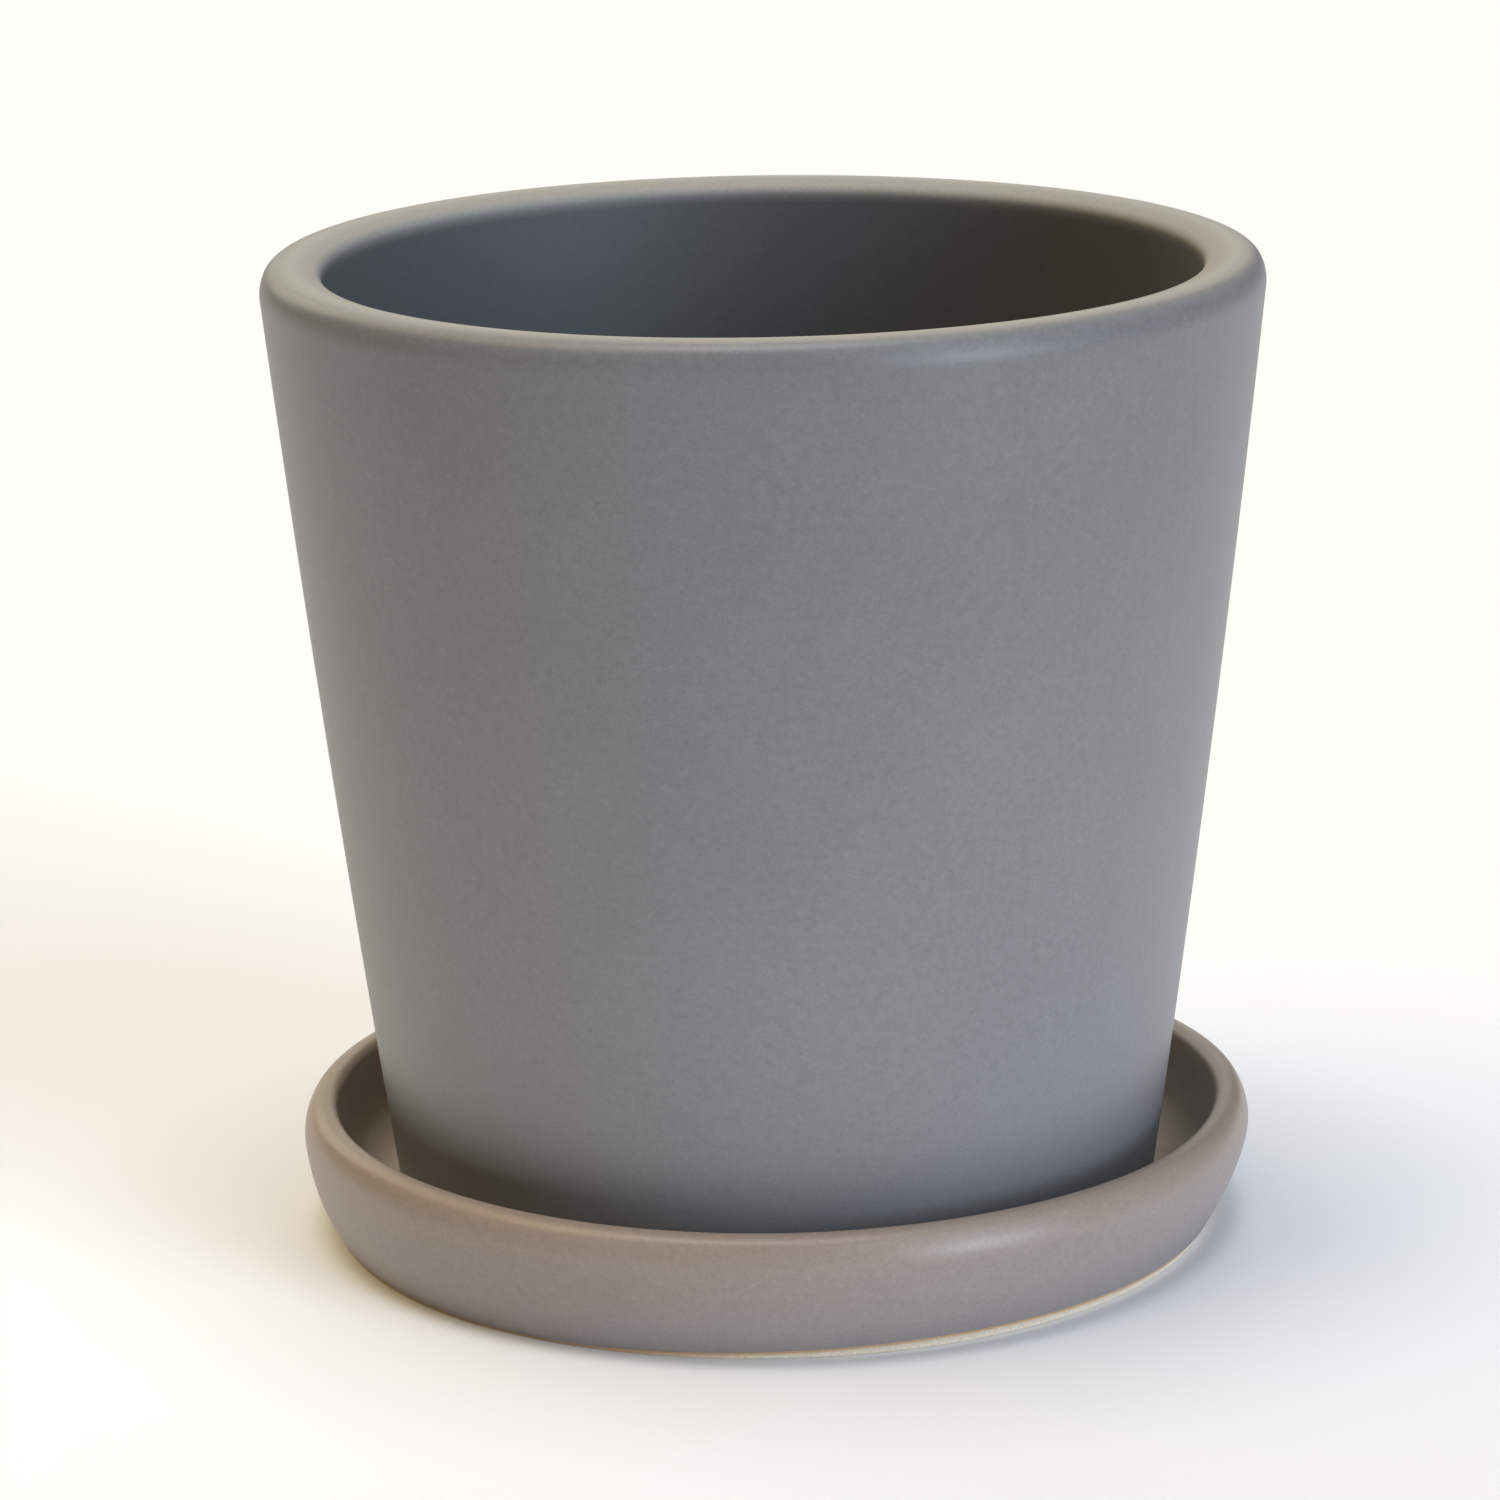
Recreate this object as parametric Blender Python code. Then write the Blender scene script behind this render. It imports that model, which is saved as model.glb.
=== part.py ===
"""Glazed ceramic plant pot standing loose in its own glazed saucer.

Both pieces are turned shapes about Z. Metres, +Z up, with the origin on the ground under the saucer's middle.
"""

import math

import bmesh
import bpy
from mathutils import Vector

MM = 0.001
SEGMENTS = 72  # steps round each turned piece

# Overall sizes
RIM_RADIUS = 65.0 * MM
TOTAL_HEIGHT = 130.0 * MM
SEAT_GAP = 0.3 * MM  # between the pot's foot and the saucer's floor

# Pot, with heights counted from the underside of its foot
POT_FOOT_RADIUS = 50.45 * MM
POT_BELLY = 0.55 * MM  # how far the wall bows out of its straight taper at mid height
POT_WALL_STEPS = 8
POT_LIP_THICKNESS = 8.0 * MM
POT_LIP_OUTER_ROUND = 2.4 * MM
POT_SHOULDER = 5.0 * MM  # the wider curve by which the wall eases into the lip
POT_SHOULDER_TURN = math.radians(28)
POT_LIP_INNER_ROUND = 1.7 * MM
POT_CROWN_ROUND = 8.0 * MM  # the top of the lip, a shallow dome between its two rounded edges
POT_CROWN_INSET = 3.8 * MM  # from the rim's outer edge to the dome's highest line
POT_FOOT_ROUND = 1.4 * MM
POT_FOOT_RING_WIDTH = 5.0 * MM
POT_FOOT_RECESS = 2.0 * MM
POT_FLOOR_TOP = 8.2 * MM
POT_FLOOR_COVE = 7.0 * MM
POT_INNER_FOOT_RADIUS = 43.4 * MM  # where the inner wall would meet the floor without its cove
DRAIN_RADIUS = 6.0 * MM
DRAIN_ROUND = 1.2 * MM

# Saucer, with heights counted from the ground
SAUCER_RADIUS = 63.1 * MM
SAUCER_HEIGHT = 17.2 * MM
SAUCER_LIP_THICKNESS = 4.6 * MM
SAUCER_LIP_OUTER_ROUND = 2.4 * MM
SAUCER_SHOULDER = 6.0 * MM
SAUCER_SHOULDER_TURN = math.radians(32)
SAUCER_WALL_TOP = SAUCER_HEIGHT - 5.0 * MM  # where the wall starts to ease into the lip
SAUCER_LIP_INNER_ROUND = 1.5 * MM
SAUCER_BELLY = 0.75 * MM
SAUCER_WALL_STEPS = 5
SAUCER_FOOT_RADIUS = 58.3 * MM
SAUCER_FOOT_CHAMFER = 0.5 * MM
SAUCER_FOOT_RING_WIDTH = 6.0 * MM
SAUCER_FOOT_RECESS = 1.2 * MM
SAUCER_FLOOR_TOP = 4.5 * MM
SAUCER_FLOOR_COVE = 6.5 * MM
SAUCER_INNER_FOOT_RADIUS = 54.4 * MM

POT_SEAT_HEIGHT = SAUCER_FLOOR_TOP + SEAT_GAP
POT_HEIGHT = TOTAL_HEIGHT - POT_SEAT_HEIGHT


def arc(centre, radius, start, end, steps):
    """Points on a circle, as (radius, height) pairs. Angles in radians, 0 pointing outwards, 90 degrees up."""
    points = []
    for i in range(steps + 1):
        angle = start + (end - start) * i / steps
        points.append((centre[0] + radius * math.cos(angle), centre[1] + radius * math.sin(angle)))
    return points


def bowed(low, high, belly, steps):
    """Points between two ends of a wall that bows outwards by belly at its middle, without the ends."""
    points = []
    for i in range(1, steps):
        share = i / steps
        swell = 4 * belly * share * (1 - share)
        points.append((low[0] + (high[0] - low[0]) * share + swell, low[1] + (high[1] - low[1]) * share))
    return points


def lean(low, high):
    """How far a wall between two (radius, height) points leans outwards from upright."""
    return math.atan2(high[0] - low[0], high[1] - low[1])


def inset_of(rounding, shoulder, turn):
    """How far in from the widest radius the tighter curve of an eased edge is centred."""
    return rounding + (shoulder - rounding) * (1 - math.cos(turn))


def eased_edge(start, centre, rounding, shoulder, turn, end, steps):
    """A lip's outer side: a wide curve off the wall, then a tighter one on the given centre over the top."""
    reach = shoulder - rounding
    wide = (centre[0] - reach * math.cos(turn), centre[1] - reach * math.sin(turn))
    return arc(wide, shoulder, start, turn, steps)[:-1] + arc(centre, rounding, turn, end, steps)


def edge_centre(crown, radius, rounding):
    """Where a rounded edge at this radius is centred so that it runs smoothly into the lip's crown, and the
    angle at which the two arcs touch."""
    reach = POT_CROWN_ROUND - rounding
    touch = math.acos((radius - crown[0]) / reach)
    return (radius, crown[1] + reach * math.sin(touch)), touch


def pot_outline():
    """The closed section of the pot, starting at the outer edge of its foot."""
    inner_radius = RIM_RADIUS - POT_LIP_THICKNESS
    crown = (RIM_RADIUS - POT_CROWN_INSET, POT_HEIGHT - POT_CROWN_ROUND)
    inset = inset_of(POT_LIP_OUTER_ROUND, POT_SHOULDER, POT_SHOULDER_TURN)
    outer, outward = edge_centre(crown, RIM_RADIUS - inset, POT_LIP_OUTER_ROUND)
    inner, inward = edge_centre(crown, inner_radius + POT_LIP_INNER_ROUND, POT_LIP_INNER_ROUND)
    outer_lean = lean((POT_FOOT_RADIUS, 0), (RIM_RADIUS, POT_HEIGHT))
    inner_lean = lean((POT_INNER_FOOT_RADIUS, POT_FLOOR_TOP), (inner_radius, POT_HEIGHT))

    foot = arc(
        (POT_FOOT_RADIUS - POT_FOOT_ROUND, POT_FOOT_ROUND), POT_FOOT_ROUND, -math.pi / 2, -outer_lean, 3
    )
    lip_outer = eased_edge(
        -outer_lean, outer, POT_LIP_OUTER_ROUND, POT_SHOULDER, POT_SHOULDER_TURN, outward, 3
    )
    lip_crown = arc(crown, POT_CROWN_ROUND, outward, math.pi / 2, 2) + arc(
        crown, POT_CROWN_ROUND, math.pi / 2, inward, 2
    )
    lip_inner = arc(inner, POT_LIP_INNER_ROUND, inward, math.pi - inner_lean, 4)
    cove_centre = (
        POT_INNER_FOOT_RADIUS - POT_FLOOR_COVE * (1 - math.tan(inner_lean)),
        POT_FLOOR_TOP + POT_FLOOR_COVE,
    )
    cove = arc(cove_centre, POT_FLOOR_COVE, -inner_lean, -math.pi / 2, 4)
    ring_inner = POT_FOOT_RADIUS - POT_FOOT_RING_WIDTH
    drain_top = arc(
        (DRAIN_RADIUS + DRAIN_ROUND, POT_FLOOR_TOP - DRAIN_ROUND), DRAIN_ROUND, math.pi / 2, math.pi, 2
    )
    return (
        foot
        + bowed(foot[-1], lip_outer[0], POT_BELLY, POT_WALL_STEPS)
        + lip_outer
        + lip_crown[1:2]
        + lip_crown[3:5]
        + lip_inner
        + cove
        + drain_top
        + [
            (DRAIN_RADIUS, POT_FOOT_RECESS),
            (ring_inner - POT_FOOT_RECESS, POT_FOOT_RECESS),
            (ring_inner, 0),
        ]
    )


def saucer_outline():
    """The section of the saucer from the middle of its underside, out, over the lip and back to the middle."""
    inset = inset_of(SAUCER_LIP_OUTER_ROUND, SAUCER_SHOULDER, SAUCER_SHOULDER_TURN)
    outer = (SAUCER_RADIUS - inset, SAUCER_HEIGHT - SAUCER_LIP_OUTER_ROUND)
    inner_radius = SAUCER_RADIUS - SAUCER_LIP_THICKNESS
    inner = (inner_radius + SAUCER_LIP_INNER_ROUND, SAUCER_HEIGHT - SAUCER_LIP_INNER_ROUND)
    outer_lean = lean((SAUCER_FOOT_RADIUS, SAUCER_FOOT_CHAMFER), (SAUCER_RADIUS, SAUCER_WALL_TOP))
    outer_lean -= 4 * SAUCER_BELLY / (SAUCER_WALL_TOP - SAUCER_FOOT_CHAMFER)
    inner_lean = lean((SAUCER_INNER_FOOT_RADIUS, SAUCER_FLOOR_TOP), (inner_radius, inner[1]))
    ring_inner = SAUCER_FOOT_RADIUS - SAUCER_FOOT_RING_WIDTH
    foot = [
        (0, SAUCER_FOOT_RECESS),
        (ring_inner - SAUCER_FOOT_RECESS, SAUCER_FOOT_RECESS),
        (ring_inner, 0),
        (SAUCER_FOOT_RADIUS - SAUCER_FOOT_CHAMFER, 0),
        (SAUCER_FOOT_RADIUS, SAUCER_FOOT_CHAMFER),
    ]
    lip = eased_edge(
        -outer_lean, outer, SAUCER_LIP_OUTER_ROUND, SAUCER_SHOULDER, SAUCER_SHOULDER_TURN, math.pi / 2, 3
    )
    lip += arc(inner, SAUCER_LIP_INNER_ROUND, math.pi / 2, math.pi - inner_lean, 4)
    cove_centre = (
        SAUCER_INNER_FOOT_RADIUS - SAUCER_FLOOR_COVE * (1 - math.tan(inner_lean)),
        SAUCER_FLOOR_TOP + SAUCER_FLOOR_COVE,
    )
    cove = arc(cove_centre, SAUCER_FLOOR_COVE, -inner_lean, -math.pi / 2, 4)
    return foot + bowed(foot[-1], lip[0], SAUCER_BELLY, SAUCER_WALL_STEPS) + lip + cove + [(0, SAUCER_FLOOR_TOP)]


def turned(name, outline, closed, material):
    """An object made by turning an outline of (radius, height) points once round Z."""
    bm = bmesh.new()
    points = [bm.verts.new((radius, 0, height)) for radius, height in outline]
    pairs = list(zip(points, points[1:]))
    if closed:
        pairs.append((points[-1], points[0]))
    edges = [bm.edges.new(pair) for pair in pairs]
    bmesh.ops.spin(
        bm,
        geom=points + edges,
        cent=Vector((0, 0, 0)),
        axis=Vector((0, 0, 1)),
        angle=2 * math.pi,
        steps=SEGMENTS,
    )
    bmesh.ops.remove_doubles(bm, verts=bm.verts, dist=0.001 * MM)
    bmesh.ops.recalc_face_normals(bm, faces=bm.faces)
    mesh = bpy.data.meshes.new(name)
    bm.to_mesh(mesh)
    bm.free()
    mesh.shade_smooth()
    mesh.set_sharp_from_angle(angle=math.radians(40))
    mesh.materials.append(material)
    piece = bpy.data.objects.new(name, mesh)
    bpy.context.scene.collection.objects.link(piece)
    return piece


def glaze(name, colour, roughness):
    material = bpy.data.materials.new(name)
    material.use_nodes = True
    shader = material.node_tree.nodes["Principled BSDF"]
    shader.inputs["Base Color"].default_value = (*colour, 1)
    shader.inputs["Roughness"].default_value = roughness
    shader.inputs["Metallic"].default_value = 0
    return material


for existing in list(bpy.data.objects):
    bpy.data.objects.remove(existing)

pot_glaze = glaze("pot_glaze", (0.19, 0.2, 0.215), 0.5)
saucer_glaze = glaze("saucer_glaze", (0.26, 0.225, 0.2), 0.48)

saucer = turned("saucer", saucer_outline(), False, saucer_glaze)
pot = turned("pot", pot_outline(), True, pot_glaze)
pot.parent = saucer
pot.location = (0, 0, POT_SEAT_HEIGHT)
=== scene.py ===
import math

import bmesh
import bpy
from mathutils import Matrix, Vector


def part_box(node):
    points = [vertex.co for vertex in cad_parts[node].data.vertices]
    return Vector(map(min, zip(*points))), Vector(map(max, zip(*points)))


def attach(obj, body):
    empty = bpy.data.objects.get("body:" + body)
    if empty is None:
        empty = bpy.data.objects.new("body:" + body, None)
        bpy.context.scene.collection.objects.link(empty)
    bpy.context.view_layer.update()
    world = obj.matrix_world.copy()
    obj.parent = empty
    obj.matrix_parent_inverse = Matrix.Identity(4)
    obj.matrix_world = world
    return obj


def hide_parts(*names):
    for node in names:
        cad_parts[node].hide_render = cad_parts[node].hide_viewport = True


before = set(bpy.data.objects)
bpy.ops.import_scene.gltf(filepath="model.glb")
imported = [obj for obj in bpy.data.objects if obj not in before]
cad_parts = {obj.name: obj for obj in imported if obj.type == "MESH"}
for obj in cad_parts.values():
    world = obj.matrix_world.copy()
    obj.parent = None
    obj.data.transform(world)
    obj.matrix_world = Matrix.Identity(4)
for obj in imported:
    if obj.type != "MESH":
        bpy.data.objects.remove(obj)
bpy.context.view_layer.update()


# The saucer: a shallow dish of pale clay, shaped in a turning mould, dried, then dipped in grey glaze.
# The glaze is wiped off its foot ring before firing, so that the dish doesn't stick to the kiln shelf,
# and the kiln toasts the clay orange along the edge where the glaze stops.
MM = 0.001
TO_MM = 1 / MM  # turns a length in metres into one in millimetres
saucer_near, saucer_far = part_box("saucer")
SAUCER_RADIUS = (saucer_far.x - saucer_near.x) / 2
SAUCER_TOP = saucer_far.z
SAUCER_LIP_THICKNESS = 4.6 * MM
SAUCER_LIP_OUTER = 2.4 * MM
SAUCER_SHOULDER = 6.0 * MM  # the wider curve by which the wall eases into the lip
SAUCER_SHOULDER_TURN = math.radians(32)
SAUCER_WALL_TOP = SAUCER_TOP - 5.0 * MM  # where the wall starts to ease into the lip
SAUCER_LIP_INNER = 1.5 * MM
SAUCER_BELLY = 0.75 * MM  # how far the wall bows out of its straight taper at mid height
SAUCER_FOOT_RADIUS = SAUCER_RADIUS - 4.8 * MM
SAUCER_FOOT_EDGE = 0.35 * MM
SAUCER_RING_WIDTH = 6.0 * MM
SAUCER_RING_EDGE = 0.3 * MM
SAUCER_RECESS = 1.2 * MM  # of the underside inside the foot ring
SAUCER_RECESS_EDGE = 0.3 * SAUCER_RECESS
SAUCER_FLOOR = 4.5 * MM
SAUCER_COVE = 6.5 * MM
SAUCER_INNER_FOOT = SAUCER_RADIUS - 8.7 * MM  # where the inner wall would meet the floor without its cove
GLAZE_DEPTH = 0.16 * MM  # how far the glaze stands proud of bare clay
GLAZE_ROLL = 0.05 * MM  # the thicker bead that molten glaze draws up into along its edge
GLAZE_EDGE = 0.9 * MM  # the height of wall over which the bead rises and fades
CLAY_STEPS = 6  # from the foot to the glaze's edge
GLAZE_EDGE_STEPS = 10
SEGMENTS = 384  # steps round each turned piece
UP = math.pi / 2  # directions round an arc, from 0, which points outwards
INWARDS = math.pi
DOWN = math.pi * 3 / 2


def smooth_step(low, high, value):
    share = min(max((value - low) / (high - low), 0), 1)
    return share * share * (3 - 2 * share)


def arc(centre, radius, start, end, steps):
    """Points round part of a circle, as (radius, height)."""
    angles = [start + (end - start) * i / steps for i in range(steps + 1)]
    return [(centre[0] + radius * math.cos(a), centre[1] + radius * math.sin(a)) for a in angles]


def run(start, end, steps):
    """Points along a straight run, without its two ends."""
    shares = [i / steps for i in range(1, steps)]
    return [tuple(a + (b - a) * share for a, b in zip(start, end)) for share in shares]


def lean(low, high):
    """How far a wall between two (radius, height) points leans outwards from upright."""
    return math.atan2(high[0] - low[0], high[1] - low[1])


def inset_of(rounding, shoulder, turn):
    """How far in from the widest radius the tighter curve of an eased edge is centred."""
    return rounding + (shoulder - rounding) * (1 - math.cos(turn))


def eased_edge(start, centre, rounding, shoulder, turn, end, steps):
    """A lip's outer side: a wide curve off the wall, then a tighter one, on centre, over the top."""
    reach = shoulder - rounding
    wide = (centre[0] - reach * math.cos(turn), centre[1] - reach * math.sin(turn))
    return arc(wide, shoulder, start, turn, steps)[:-1] + arc(centre, rounding, turn, end, steps)


def dipped_wall(foot, top, belly, glaze_line, steps):
    """A wall's outer side, from foot to lip: bare clay, the rolled edge of the glaze, then glaze."""

    def surface(height):
        share = (height - foot[1]) / (top[1] - foot[1])
        return foot[0] + (top[0] - foot[0]) * share + 4 * belly * share * (1 - share)

    heights = [foot[1] + (glaze_line - foot[1]) * i / CLAY_STEPS for i in range(CLAY_STEPS)]
    for i in range(GLAZE_EDGE_STEPS):
        heights.append(glaze_line + GLAZE_EDGE * (i / GLAZE_EDGE_STEPS) ** 1.5)
    upper = glaze_line + GLAZE_EDGE
    heights += [upper + (top[1] - upper) * i / steps for i in range(steps)]
    points = []
    for height in heights:
        above = height - glaze_line
        covered = smooth_step(-0.02 * MM, 0.22 * MM, above)
        bead = smooth_step(0, 0.2 * MM, above) * (1 - smooth_step(0.25 * MM, 0.85 * MM, above))
        bare = GLAZE_DEPTH * (1 - covered) * smooth_step(foot[1], foot[1] + 0.2 * MM, height)
        points.append((surface(height) - bare + GLAZE_ROLL * bead, height))
    return points


def bare_clay(section, first, last):
    """How far each point of a section lies inside its unglazed stretch, or minus how far outside.

    The stretch runs between the points numbered first and last, and distances are taken along the surface.
    """
    along = [0]
    for a, b in zip(section, section[1:]):
        along.append(along[-1] + math.dist(a, b))
    return [min(s - along[first], along[last] - s) for s in along]


def drop_loose(mesh):
    """Deletes the points that no face uses."""
    bm = bmesh.new()
    bm.from_mesh(mesh)
    loose = [v for v in bm.verts if not v.link_faces]
    bmesh.ops.delete(bm, geom=loose, context="VERTS")
    bm.to_mesh(mesh)
    bm.free()


def turned(name, section_at, wander, closed):
    """A turned piece. section_at(angle) gives its section and how far each point lies inside bare clay."""
    verts, bare = [], []
    for i in range(SEGMENTS):
        angle = 2 * math.pi * i / SEGMENTS
        section, inside = section_at(angle)
        for (radius, height), clay in zip(section, inside):
            radius, height = wander(angle, radius, height)
            verts.append((radius * math.cos(angle), radius * math.sin(angle), height))
            bare.append(clay)
    count = len(section)
    poles = [] if closed else [0, count - 1]
    faces = []
    for i in range(SEGMENTS):
        here, there = i * count, (i + 1) % SEGMENTS * count
        for j in range(count if closed else count - 1):
            k = (j + 1) % count
            corners = [here + j, there + j, there + k, here + k]
            if j in poles:
                corners = [j, there + k, here + k]
            if k in poles:
                corners = [here + j, there + j, k]
            faces.append(corners)
    mesh = bpy.data.meshes.new(name)
    mesh.from_pydata(verts, [], faces)
    mesh.attributes.new("bare_clay", "FLOAT", "POINT").data.foreach_set("value", bare)
    if poles:
        # A pole is one shared vertex, so the copies that the other sections made of it go.
        drop_loose(mesh)
    mesh.shade_smooth()
    piece = bpy.data.objects.new(name, mesh)
    bpy.context.scene.collection.objects.link(piece)
    return piece


def saucer_glaze_line(angle):
    """Height of the glaze's wiped edge: high at the front right, almost down to the foot at the left."""
    high = smooth_step(-0.2, 0.65, math.cos(angle + 0.3))
    wave = 0.08 * math.sin(3 * angle + 0.4) + 0.05 * math.sin(7 * angle + 2)
    return (0.32 + 1.25 * high + wave) * MM


def saucer_section(angle):
    """Half of the saucer, from the middle of its underside, out, over the lip and back to the middle."""
    inset = inset_of(SAUCER_LIP_OUTER, SAUCER_SHOULDER, SAUCER_SHOULDER_TURN)
    outer = (SAUCER_RADIUS - inset, SAUCER_TOP - SAUCER_LIP_OUTER)
    inner_radius = SAUCER_RADIUS - SAUCER_LIP_THICKNESS
    inner = (inner_radius + SAUCER_LIP_INNER, SAUCER_TOP - SAUCER_LIP_INNER)
    foot = (SAUCER_FOOT_RADIUS, SAUCER_FOOT_EDGE)
    bow = 4 * SAUCER_BELLY / (SAUCER_WALL_TOP - SAUCER_FOOT_EDGE)  # the belly's slope at the wall's top
    lean_out = lean(foot, (SAUCER_RADIUS, SAUCER_WALL_TOP)) - bow
    lean_in = lean((SAUCER_INNER_FOOT, SAUCER_FLOOR), (inner_radius, inner[1]))
    ring = SAUCER_FOOT_RADIUS - SAUCER_RING_WIDTH
    ceiling = ring - 2 * SAUCER_RECESS
    section = [(0, SAUCER_RECESS)] + run((0, SAUCER_RECESS), (ceiling, SAUCER_RECESS), 24)
    recess_edge = (ceiling, SAUCER_RECESS - SAUCER_RECESS_EDGE)
    section += arc(recess_edge, SAUCER_RECESS_EDGE, UP, UP / 2, 3)
    first = len(section)
    section += run(section[-1], (ring, SAUCER_RING_EDGE), 4)
    ring_edge = (ring + SAUCER_RING_EDGE, SAUCER_RING_EDGE)
    section += arc(ring_edge, SAUCER_RING_EDGE, INWARDS + UP / 2, DOWN, 4)
    edge = (foot[0] - SAUCER_FOOT_EDGE, SAUCER_FOOT_EDGE)
    section += run(section[-1], (edge[0], 0), 8)
    section += arc(edge, SAUCER_FOOT_EDGE, -UP, 0, 5)[:-1]
    rounded = eased_edge(-lean_out, outer, SAUCER_LIP_OUTER, SAUCER_SHOULDER, SAUCER_SHOULDER_TURN, UP, 14)
    rounded += arc(inner, SAUCER_LIP_INNER, UP, INWARDS - lean_in, 12)
    last = len(section) + CLAY_STEPS
    section += dipped_wall(foot, rounded[0], SAUCER_BELLY, saucer_glaze_line(angle), 34)
    section += rounded
    cove = (SAUCER_INNER_FOOT - SAUCER_COVE * (1 - math.tan(lean_in)), SAUCER_FLOOR + SAUCER_COVE)
    cove_arc = arc(cove, SAUCER_COVE, -lean_in, -UP, 10)
    section += run(section[-1], cove_arc[0], 16) + cove_arc
    section += run(section[-1], (0, SAUCER_FLOOR), 40) + [(0, SAUCER_FLOOR)]
    return section, bare_clay(section, first, last)


def saucer_wander(angle, radius, height):
    """The small ways in which a fired dish isn't round or level. Its foot and floor stay flat."""
    up = smooth_step(5 * MM, SAUCER_TOP, height) * smooth_step(40 * MM, 56 * MM, radius)
    low = smooth_step(50 * MM, 56 * MM, radius) * (1 - smooth_step(2 * MM, 14 * MM, height))
    spread = 0.7 * math.cos(angle + 2.7) * low * MM
    out = 0.14 * math.cos(2 * angle + 0.7) + 0.06 * math.sin(3 * angle + 1.9) + 0.03 * math.sin(8 * angle)
    rise = 0.1 * math.cos(2 * angle - 0.5) + 0.05 * math.sin(5 * angle + 0.8)
    return radius + out * up * MM + spread, height + rise * up * MM


saucer = turned("saucer_dish", saucer_section, saucer_wander, closed=False)


class Term:
    """A socket of a finish's node tree. Arithmetic on it adds the Math nodes that work it out."""

    def __init__(self, finish, socket):
        self.finish = finish
        self.socket = socket

    def maths(self, operation, *terms):
        return self.finish.node("ShaderNodeMath", {"operation": operation}, dict(enumerate(terms)))

    def __add__(self, other):
        return self.maths("ADD", self, other)

    def __sub__(self, other):
        return self.maths("SUBTRACT", self, other)

    def __rsub__(self, other):
        return self.maths("SUBTRACT", other, self)

    def __mul__(self, other):
        return self.maths("MULTIPLY", self, other)

    __radd__ = __add__
    __rmul__ = __mul__

    def rises(self, low, high):
        """0 below low and 1 above high, with a smooth step between."""
        sockets = {"Value": self, "From Min": low, "From Max": high}
        return self.finish.node("ShaderNodeMapRange", {"interpolation_type": "SMOOTHSTEP"}, sockets)


class Finish:
    """A material, built up from its coordinates, masks and patterns."""

    def __init__(self, name):
        self.material = bpy.data.materials.new(name)
        self.material.use_nodes = True
        self.tree = self.material.node_tree
        self.shader = self.tree.nodes["Principled BSDF"]
        self.place = self.node("ShaderNodeTexCoord", output="Object")

    def node(self, kind, settings=None, sockets=None, output=0):
        """Adds a node: its type, its settings, then its sockets' values or links. Returns one output."""
        made = self.tree.nodes.new(kind)
        for name, value in (settings or {}).items():
            setattr(made, name, value)
        for name, value in (sockets or {}).items():
            self.feed(made.inputs[name], value)
        return Term(self, made.outputs[output])

    def feed(self, socket, value):
        if isinstance(value, Term):
            self.tree.links.new(value.socket, socket)
        else:
            socket.default_value = value

    def noise(self, size, detail=2, roughness=0.5, stretch=(1, 1, 1)):
        """Soft noise from 0 to 1 around 0.5, with features about size across."""
        place = self.node("ShaderNodeVectorMath", {"operation": "MULTIPLY"}, {0: self.place, 1: stretch})
        sockets = {"Vector": place, "Scale": 1 / size, "Detail": detail, "Roughness": roughness}
        return self.node("ShaderNodeTexNoise", None, sockets)

    def spots(self, spacing, radius, share):
        """Round spots in a share of the cells of a loose grid: 1 in a spot's middle, 0 outside."""
        settings = {"feature": "F1"}
        sockets = {"Vector": self.place, "Scale": 1 / spacing}
        distance = self.node("ShaderNodeTexVoronoi", settings, sockets, "Distance")
        colour = self.node("ShaderNodeTexVoronoi", settings, sockets, "Color")
        pick = self.node("ShaderNodeSeparateColor", None, {0: colour})
        inside = 1 - distance.rises(0.4 * radius / spacing, radius / spacing)
        return inside * (1 - pick.rises(share, share + 0.001))

    def blend(self, factor, low, high):
        """A colour between two others. A Mix node keeps its colours in sockets 6 and 7 and its output 2."""
        sockets = {0: factor, 6: low, 7: high}
        return self.node("ShaderNodeMix", {"data_type": "RGBA"}, sockets, 2)

    def finish(self, **sockets):
        for name, value in sockets.items():
            self.feed(self.shader.inputs[name.replace("_", " ").title().replace("Ior", "IOR")], value)


def colour(red, green, blue):
    return (red, green, blue, 1)


CLAY = colour(0.86, 0.76, 0.62)
CLAY_SHADE = colour(0.72, 0.62, 0.48)
TOASTED = colour(0.62, 0.36, 0.16)


def height_of(made):
    """Height of the surface over the ground the object was made on, in millimetres."""
    return made.node("ShaderNodeSeparateXYZ", None, {0: made.place}, "Z") * TO_MM


def radius_of(made):
    """Distance of the surface from the turning axis, in millimetres."""
    flat = made.node("ShaderNodeVectorMath", {"operation": "MULTIPLY"}, {0: made.place, 1: (1, 1, 0)})
    return made.node("ShaderNodeVectorMath", {"operation": "LENGTH"}, {0: flat}, "Value") * TO_MM


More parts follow.
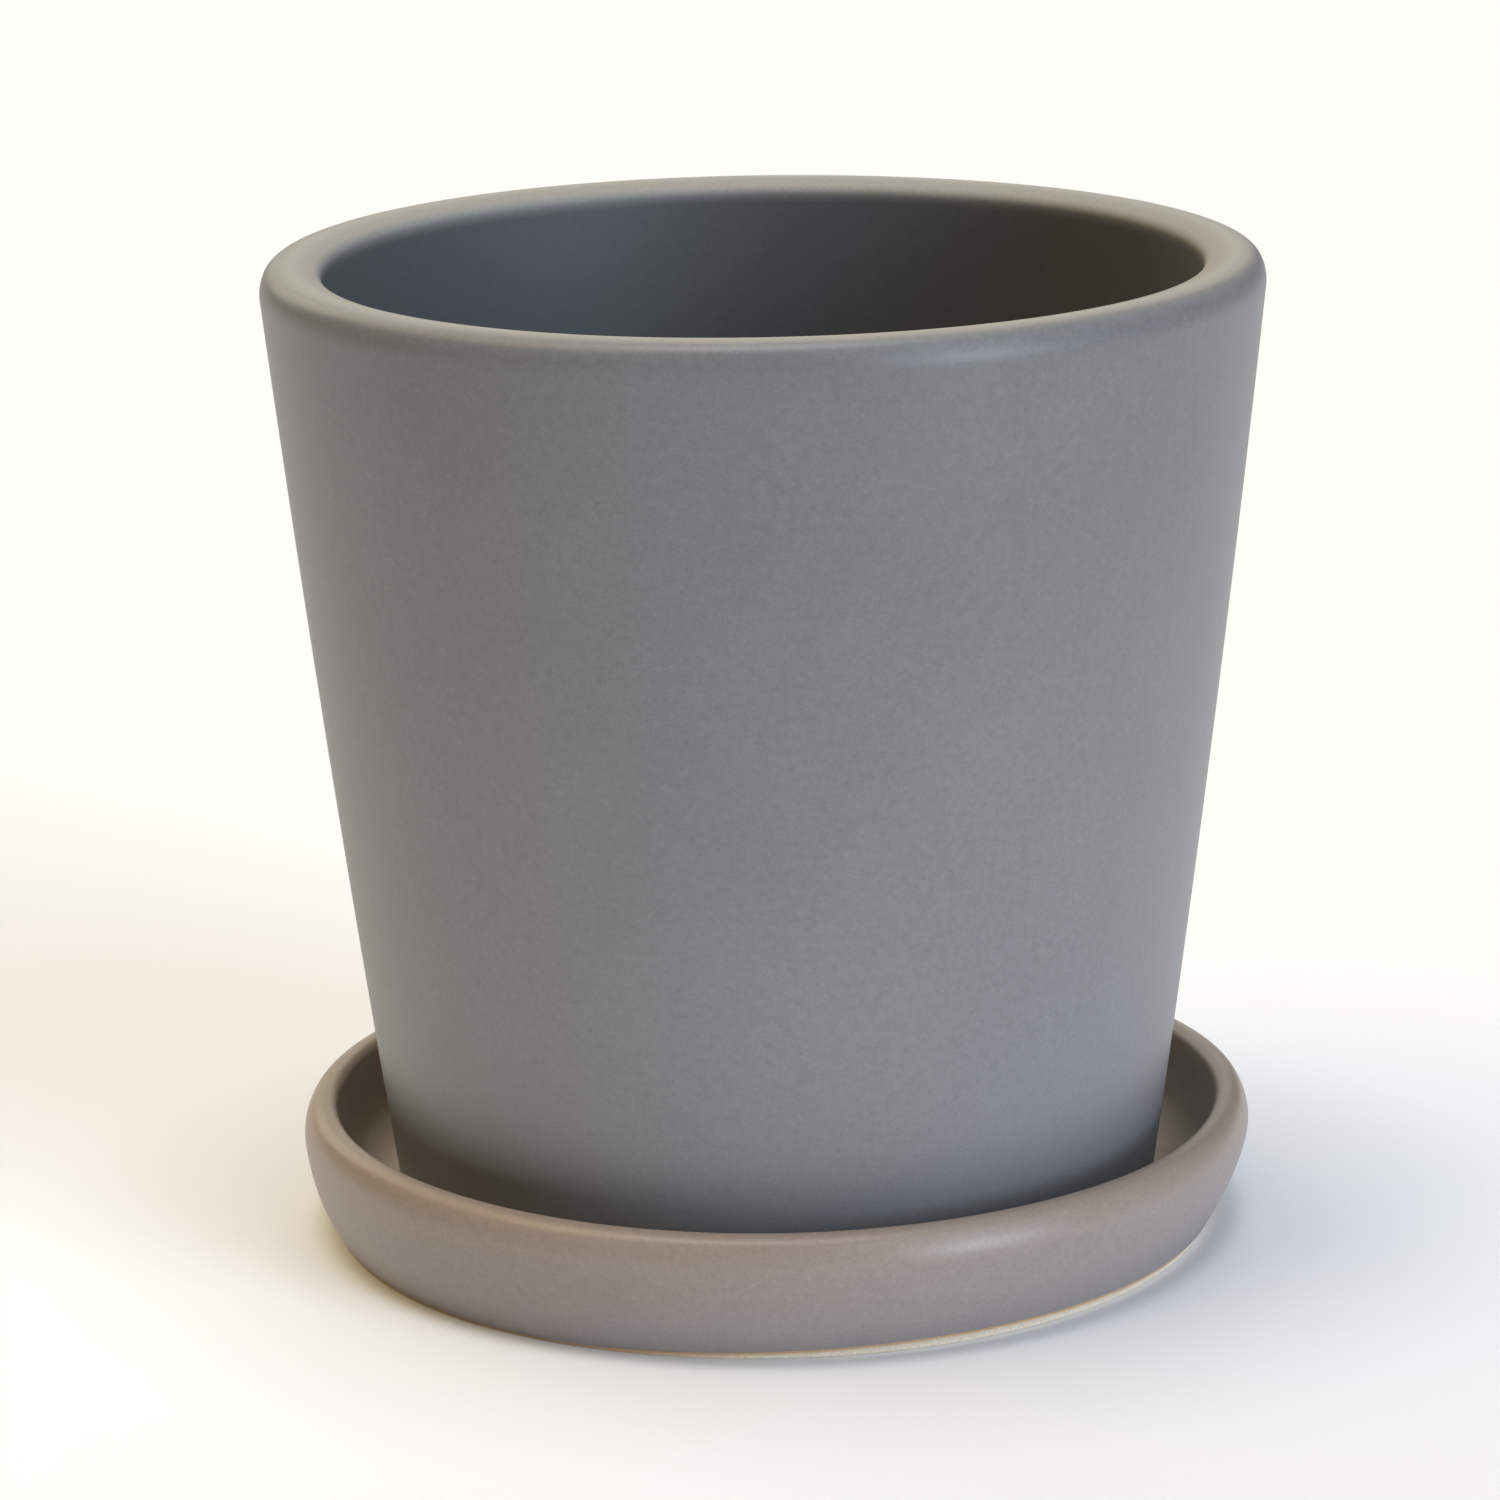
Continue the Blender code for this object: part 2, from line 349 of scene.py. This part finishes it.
def glazed_finish(name, tones, painted_light_low, roughness, places):
    """Satin glaze over pale clay.

    tones are the glaze's darker and lighter colour, and the next argument is painted light: how much paler
    the glaze is painted towards the foot, standing in for light bounced up from the floor.
    places are the parts of the piece with their own colour, some fired differently and some painted light
    or
    shade: the function that gives the mask of each, the glaze's colour there, and how much rougher it is
    there.
    """
    made = Finish(name)
    # Bare clay, in millimetres inside the glaze's slightly wavering edge. The clay next to it is toasted.
    bare = made.node("ShaderNodeAttribute", {"attribute_name": "bare_clay"}, output="Fac") * TO_MM
    bare = bare + (made.noise(0.7 * MM, 2) - 0.5) * 0.1 + (made.noise(3 * MM, 1) - 0.5) * 0.12
    is_clay = bare.rises(-0.02, 0.05)
    toast = is_clay * (1 - bare.rises(0.15, 0.85))

    # The glaze's tone varies over centimetres and over about a millimetre, and its grain is finer still.
    cloud = made.noise(28 * MM, 3)
    mottle = made.noise(1.1 * MM, 3, 0.6)
    grain = made.noise(0.35 * MM, 2, 0.6)
    tone = 0.5 + (cloud - 0.5) * 0.55 + (mottle - 0.5) * 0.5
    # Painted light: the glaze is painted paler towards the foot, for light bounced up from the floor.
    tone = tone + painted_light_low * (0.6 - height_of(made).rises(-20, 150))
    glaze = made.blend(tone, tones[0], tones[1])
    roughness = roughness + (mottle - 0.5) * 0.08 + (cloud - 0.5) * 0.06
    for place, tone_there, rougher in places:
        here = place(made)
        glaze = made.blend(here, glaze, tone_there)
        roughness = roughness + here * rougher
    cast = 1 + (grain - 0.5) * 0.34 + (mottle - 0.5) * 0.16
    glaze = made.node("ShaderNodeVectorMath", {"operation": "SCALE"}, {0: glaze, "Scale": cast})
    pinholes = made.spots(9 * MM, 0.2 * MM, 0.3)
    specks = made.spots(2.6 * MM, 0.16 * MM, 0.35)
    glaze = made.blend(specks * 0.16, glaze, colour(0.05, 0.045, 0.04))
    glaze = made.blend(pinholes * 0.6, glaze, colour(0.03, 0.028, 0.025))

    sand = made.noise(0.45 * MM, 3, 0.7)
    clay = made.blend(sand.rises(0.3, 0.7), CLAY_SHADE, CLAY)
    clay = made.blend(toast * 0.9, clay, TOASTED)

    # Relief in millimetres: orange peel, a fine tooth, rings left by the turning mould, and pinholes.
    peel = made.noise(1.6 * MM, 1) * 0.008
    fine = made.noise(0.3 * MM, 2) * 0.0022
    rings = made.noise(1.5 * MM, 2, 0.5, (0.02, 0.02, 1)) * 0.006
    pits = pinholes * -0.02
    relief = (peel + fine + rings + pits) * (1 - is_clay) + sand * 0.03 * is_clay
    bump = made.node("ShaderNodeBump", None, {"Strength": 1, "Distance": MM, "Height": relief})

    made.finish(
        base_color=made.blend(is_clay, glaze, clay),
        roughness=roughness + is_clay * 0.42,
        normal=bump,
        ior=1.5,
    )
    return made.material


def saucer_edge(made):
    """The rounded lip, where the glaze runs thin and fires pinker."""
    top = SAUCER_TOP / MM
    ragged = (made.noise(6 * MM, 2) - 0.5) * 3
    return (height_of(made) + ragged).rises(top - 6.5, top - 0.5) * 0.75


def saucer_outside(made):
    """The outer wall, as against the inside of the dish."""
    return radius_of(made).rises(SAUCER_RADIUS / MM - 6, SAUCER_RADIUS / MM - 5)


def saucer_low(made):
    """The cooler, greyer tone low on the outer wall."""
    ragged = (made.noise(12 * MM, 2) - 0.5) * 6
    return (1 - (height_of(made) + ragged).rises(1, 11)) * saucer_outside(made) * 0.8


def saucer_cove_painted_light(made):
    """The inside low down, painted paler: painted light for the light that reaches the cove past the lip.
    """
    ragged = (made.noise(12 * MM, 2) - 0.5) * 3
    return (1 - (height_of(made) + ragged).rises(7, 13)) * (1 - saucer_outside(made)) * 0.9


saucer_places = [
    (saucer_low, colour(0.285, 0.26, 0.265), 0),
    # Painted light: low inside the dish the glaze is painted paler where light reaches the cove.
    (saucer_cove_painted_light, colour(0.47, 0.4, 0.33), 0.1),
    (saucer_edge, colour(0.332, 0.255, 0.208), 0),
]
saucer_tones = (colour(0.28, 0.236, 0.217), colour(0.355, 0.304, 0.278))
saucer.data.materials.append(glazed_finish("saucer_glaze", saucer_tones, 0, 0.37, saucer_places))
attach(saucer, "saucer")
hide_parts("saucer")


# The pot: a thick tapered wall of the same clay, shaped in a turning mould, with its lip sponged to a
# shallow dome that eases off the wall in a wide curve. It is glazed inside and out, apart from the foot
# ring it stands on, and water drains through one hole in the middle of its floor.
pot_low, pot_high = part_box("pot")
RIM_RADIUS = (pot_high.x - pot_low.x) / 2
POT_SEAT = pot_low.z
POT_TOP = pot_high.z
POT_FOOT_RADIUS = RIM_RADIUS - 14.55 * MM
POT_BELLY = 0.55 * MM
LIP_THICKNESS = 8.0 * MM
LIP_OUTER_ROUND = 2.4 * MM
LIP_SHOULDER = 5.0 * MM
LIP_SHOULDER_TURN = math.radians(28)
LIP_INNER_ROUND = 1.7 * MM
CROWN_ROUND = 8.0 * MM  # the top of the lip, a shallow dome between its two rounded edges
CROWN_INSET = 3.8 * MM  # from the rim's outer edge to the dome's highest line
POT_FOOT_EDGE = 0.9 * MM
POT_RING_WIDTH = 5.0 * MM
POT_RING_EDGE = 0.4 * MM
POT_RECESS = 2.0 * MM
POT_FLOOR = 8.2 * MM
POT_COVE = 7.0 * MM
POT_INNER_FOOT = RIM_RADIUS - 21.6 * MM
DRAIN_RADIUS = 6.0 * MM
DRAIN_ROUND = 1.2 * MM
DRAIN_LOWER_ROUND = 0.5 * MM


def pot_glaze_line(angle):
    """Height of the glaze's wiped edge, just over the foot ring."""
    wave = 0.25 * math.cos(angle - 2) + 0.12 * math.sin(4 * angle + 1) + 0.06 * math.sin(9 * angle)
    return POT_SEAT + (1.7 + wave) * MM


def edge_centre(crown, radius, rounding):
    """The centre of a rounded edge that runs smoothly into the crown, and the angle where they touch."""
    reach = CROWN_ROUND - rounding
    touch = math.acos((radius - crown[0]) / reach)
    return (radius, crown[1] + reach * math.sin(touch)), touch


def pot_section(angle):
    """Half of the pot, from its foot up the wall, over the lip, down inside and back to the foot."""
    floor = POT_SEAT + POT_FLOOR
    inner_radius = RIM_RADIUS - LIP_THICKNESS
    crown = (RIM_RADIUS - CROWN_INSET, POT_TOP - CROWN_ROUND)
    inset = inset_of(LIP_OUTER_ROUND, LIP_SHOULDER, LIP_SHOULDER_TURN)
    outer, outward = edge_centre(crown, RIM_RADIUS - inset, LIP_OUTER_ROUND)
    inner, inward = edge_centre(crown, inner_radius + LIP_INNER_ROUND, LIP_INNER_ROUND)
    lean_out = lean((POT_FOOT_RADIUS, POT_SEAT), (RIM_RADIUS, POT_TOP))
    lean_in = lean((POT_INNER_FOOT, floor), (inner_radius, POT_TOP))

    edge = (POT_FOOT_RADIUS - POT_FOOT_EDGE, POT_SEAT + POT_FOOT_EDGE)
    ring = POT_FOOT_RADIUS - POT_RING_WIDTH
    section = arc(edge, POT_FOOT_EDGE, -UP, -lean_out, 7)[:-1]
    foot = arc(edge, POT_FOOT_EDGE, -lean_out, 0, 1)[0]
    lip = eased_edge(-lean_out, outer, LIP_OUTER_ROUND, LIP_SHOULDER, LIP_SHOULDER_TURN, outward, 12)
    last = len(section) + CLAY_STEPS
    section += dipped_wall(foot, lip[0], POT_BELLY, pot_glaze_line(angle), 48)
    section += lip
    section += arc(crown, CROWN_ROUND, outward, inward, 12)[1:-1]
    section += arc(inner, LIP_INNER_ROUND, inward, INWARDS - lean_in, 16)
    cove = (POT_INNER_FOOT - POT_COVE * (1 - math.tan(lean_in)), floor + POT_COVE)
    cove_arc = arc(cove, POT_COVE, -lean_in, -UP, 14)
    section += run(section[-1], cove_arc[0], 34) + cove_arc
    drain = arc((DRAIN_RADIUS + DRAIN_ROUND, floor - DRAIN_ROUND), DRAIN_ROUND, UP, INWARDS, 8)
    section += run(section[-1], drain[0], 16) + drain
    recess = POT_SEAT + POT_RECESS
    lower = (DRAIN_RADIUS + DRAIN_LOWER_ROUND, recess + DRAIN_LOWER_ROUND)
    under = arc(lower, DRAIN_LOWER_ROUND, INWARDS, DOWN, 4)
    section += run(section[-1], under[0], 6) + under
    ceiling = (ring - 1.4 * POT_RECESS, recess)
    section += run(section[-1], ceiling, 20) + [ceiling]
    ring_centre = (ring + POT_RING_EDGE, POT_SEAT + POT_RING_EDGE)
    ring_edge = arc(ring_centre, POT_RING_EDGE, INWARDS + UP / 2, DOWN, 4)
    first = len(section)
    section += run(section[-1], ring_edge[0], 5) + ring_edge
    section += run(section[-1], section[0], 6)
    # The bare clay runs on past the section's first point, so it is measured along a second lap too.
    bare = bare_clay(section + section[: last + 1], first, len(section) + last)
    wrapped = bare[: len(section)]
    for i in range(last + 1):
        wrapped[i] = bare[len(section) + i]
    for i in range(last + 1, len(section)):
        wrapped[i] = max(wrapped[i], -math.dist(section[i], section[last]))
    return section, wrapped


def pot_wander(angle, radius, height):
    """The small ways in which a fired pot isn't round or level. They grow from its foot to its lip."""
    up = smooth_step(POT_SEAT, POT_TOP, height)
    out = 0.08 * math.cos(2 * angle + 2.5) + 0.05 * math.sin(3 * angle + 0.6) + 0.015 * math.sin(9 * angle)
    rise = 0.1 * math.cos(2 * angle + 2.2) + 0.05 * math.sin(3 * angle)
    return radius + out * up * MM, height + rise * smooth_step(0.8 * POT_TOP, POT_TOP, height) * MM


pot = turned("pot_body", pot_section, pot_wander, closed=True)


def pot_crown_painted_light(made):
    """The crown of the lip, painted warmer and paler: painted light for the warm light that falls on its
    top.
    """
    top = POT_TOP / MM
    rim = RIM_RADIUS / MM
    ragged = (made.noise(5 * MM, 2) - 0.5) * 0.8
    crown = 1 - (radius_of(made) + ragged).rises(rim - 4, rim)
    return height_of(made).rises(top - 3.2, top - 0.7) * crown * 0.88


def pot_inside_painted_shade(made):
    """The inside, where the glaze is painted darker: painted shade for the shade that falls inside the pot.
    """
    slope = (RIM_RADIUS - POT_FOOT_RADIUS) / (POT_TOP - POT_SEAT)
    outer = height_of(made) * slope + (POT_FOOT_RADIUS - POT_SEAT * slope) / MM
    return (outer - radius_of(made)).rises(4, 6.5) * 0.9


# Painted shade and light: the inside is painted darker for its shade, the lip's crown paler and warmer for
# light from above.
pot_places = [(pot_inside_painted_shade, colour(0.085, 0.09, 0.094), 0.2), (pot_crown_painted_light, colour(0.345, 0.333, 0.302), 0)]
pot_tones = (colour(0.162, 0.166, 0.173), colour(0.228, 0.232, 0.241))
pot.data.materials.append(glazed_finish("pot_glaze", pot_tones, 1.2, 0.43, pot_places))
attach(pot, "pot")
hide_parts("pot")


# The stage: a wide pale floor in a dim warm room, under a large soft light overhead. A cool window
# stands low at the front right, and warmer, weaker light comes from the left and from behind.
floor_mesh = bpy.data.meshes.new("floor")
FLOOR_HALF = 6.0
corners = [(-1, -1), (1, -1), (1, 1), (-1, 1)]
floor_mesh.from_pydata([(x * FLOOR_HALF, y * FLOOR_HALF, 0) for x, y in corners], [], [(0, 1, 2, 3)])
floor = bpy.data.objects.new("floor", floor_mesh)
bpy.context.scene.collection.objects.link(floor)
floor_finish = Finish("pale_floor")
floor_finish.finish(base_color=colour(0.92, 0.935, 0.965), roughness=0.9)
floor_mesh.materials.append(floor_finish.material)


def sun(name, azimuth, elevation, spread, strength, tint):
    """A soft, even light. Its angles are in degrees, and azimuth 0 is behind the camera, turning right."""
    lamp = bpy.data.lights.new(name, "SUN")
    lamp.energy = strength
    lamp.color = tint
    lamp.angle = math.radians(spread)
    holder = bpy.data.objects.new(name, lamp)
    a, e = math.radians(azimuth), math.radians(elevation)
    towards = Vector((math.sin(a) * math.cos(e), -math.cos(a) * math.cos(e), math.sin(e)))
    holder.rotation_euler = towards.to_track_quat("Z", "Y").to_euler()
    bpy.context.scene.collection.objects.link(holder)


sun("overhead", 0, 90, 34, 1.5, (0.88, 0.92, 1))
sun("window", 48, 10, 24, 1.55, (0.76, 0.85, 1))
sun("sky_in_window", 48, 38, 36, 0.72, (0.6, 0.8, 1))
sun("warm_left", -80, 62, 36, 0.9, (1, 0.76, 0.42))
sun("warm_back_left", -130, 45, 36, 0.34, (1, 0.78, 0.5))
sun("pale_back_left", -150, 22, 30, 0.34, (1, 0.98, 0.78))
sun("back_high", 180, 40, 30, 0.25, (1, 1, 0.9))
sun("back_low", 180, 10, 30, 0.16, (1, 1, 0.9))
world = bpy.data.worlds.new("room")
world.use_nodes = True
world.node_tree.nodes["Background"].inputs["Color"].default_value = colour(1, 0.8, 0.5)
world.node_tree.nodes["Background"].inputs["Strength"].default_value = 0.12
bpy.context.scene.world = world

# The camera: a long lens a little above the rim, looking down into the pot, with a very slight roll.
# Its distance and height go with the rim's size, and its turns are in radians.
CAMERA_BACK = 11.248 * RIM_RADIUS
CAMERA_UP = 3.9458 * RIM_RADIUS
CAMERA_PITCH = 0.25815
CAMERA_YAW = -0.003635
CAMERA_ROLL = -0.017486
camera_data = bpy.data.cameras.new("camera")
camera_data.sensor_width = 36
camera_data.lens = 137.36
camera_data.clip_start = 0.01
camera_data.clip_end = 60
camera = bpy.data.objects.new("camera", camera_data)
ahead = Vector((
    math.sin(CAMERA_YAW) * math.cos(CAMERA_PITCH),
    math.cos(CAMERA_YAW) * math.cos(CAMERA_PITCH),
    -math.sin(CAMERA_PITCH),
))
level = Vector((math.cos(CAMERA_YAW), -math.sin(CAMERA_YAW), 0))
upright = level.cross(ahead)
right = math.cos(CAMERA_ROLL) * level + math.sin(CAMERA_ROLL) * upright
top = math.cos(CAMERA_ROLL) * upright - math.sin(CAMERA_ROLL) * level
facing = Matrix((right, top, -ahead)).transposed().to_4x4()
camera.matrix_world = Matrix.Translation((0, -CAMERA_BACK, CAMERA_UP)) @ facing
bpy.context.scene.collection.objects.link(camera)
bpy.context.scene.camera = camera
bpy.context.scene.view_settings.view_transform = "Standard"
